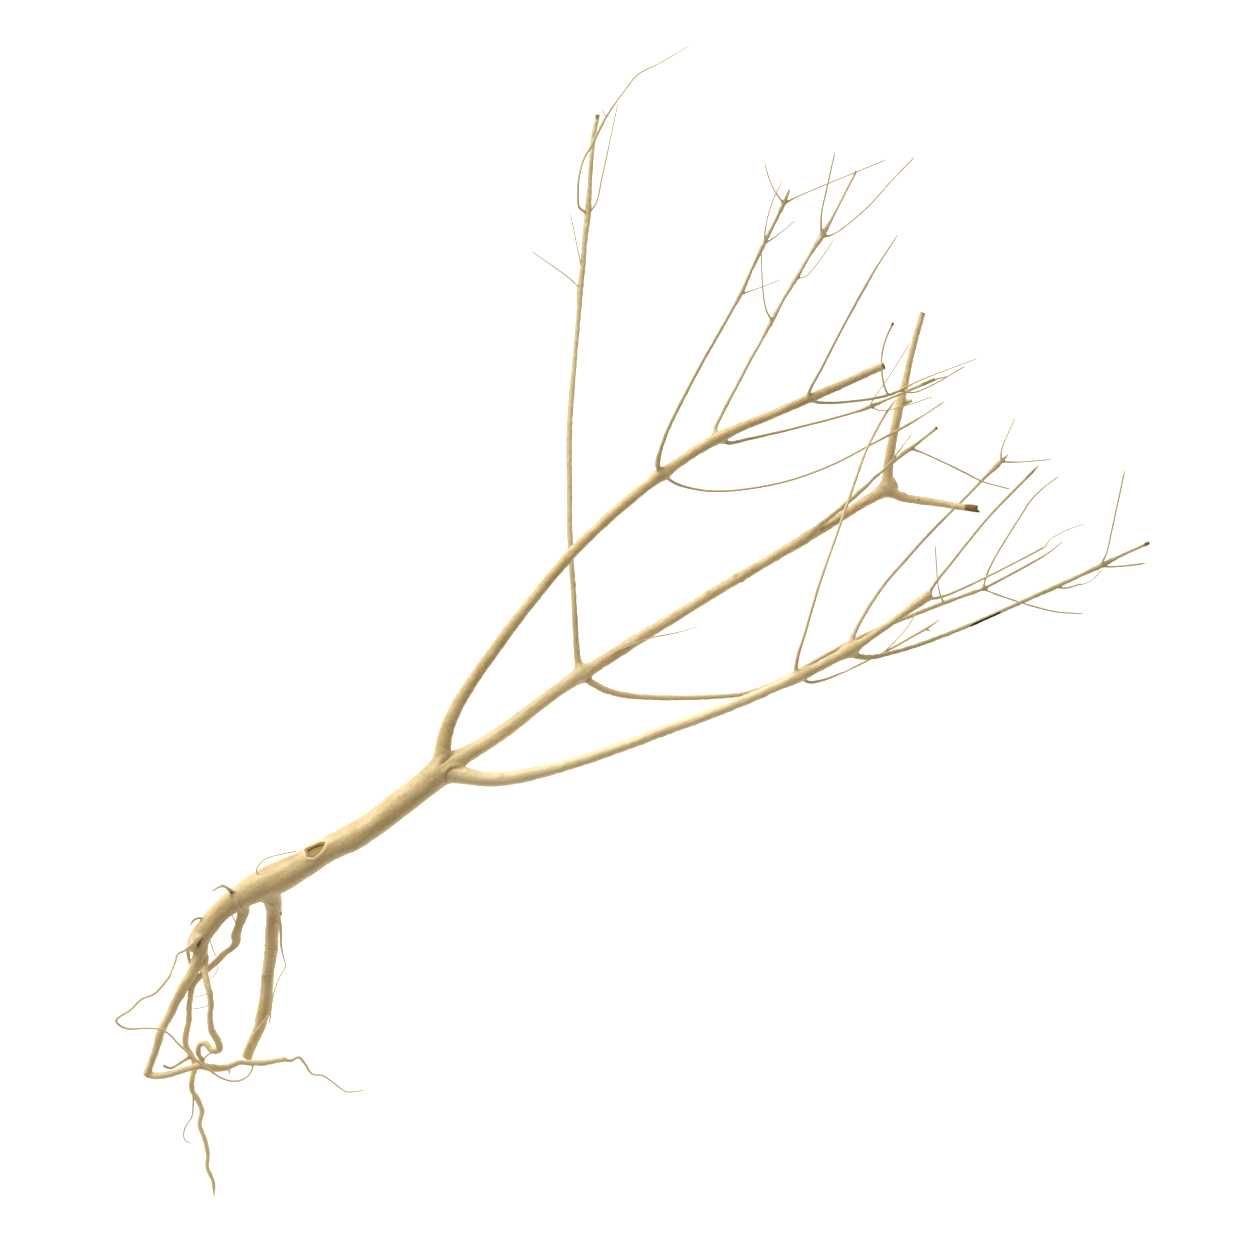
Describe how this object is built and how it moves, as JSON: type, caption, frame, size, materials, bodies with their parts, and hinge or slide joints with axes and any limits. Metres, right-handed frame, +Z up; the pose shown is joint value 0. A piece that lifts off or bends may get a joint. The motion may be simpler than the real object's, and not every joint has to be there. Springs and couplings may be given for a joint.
{
  "type": "dry root",
  "caption": "Peeled, sun-bleached woody plant with its gnarled root, bare stem, forked limbs and fine twigs, lying down.",
  "frame": {"origin": "on the surface that the plant lies on, under the middle of its outline", "axes": "+X along the plant from the roots to the branch tips, +Y across it towards the long side twig, +Z up from the surface"},
  "size_m": [0.5018, 0.3074, 0.1106],
  "materials": {
    "bleached_wood": "bare peeled wood, bleached pale straw, matt, with fine lengthwise grain and browner broken ends"
  },
  "bodies": {
    "root": {"dry_root": "bleached_wood"}
  },
  "joints": []
}
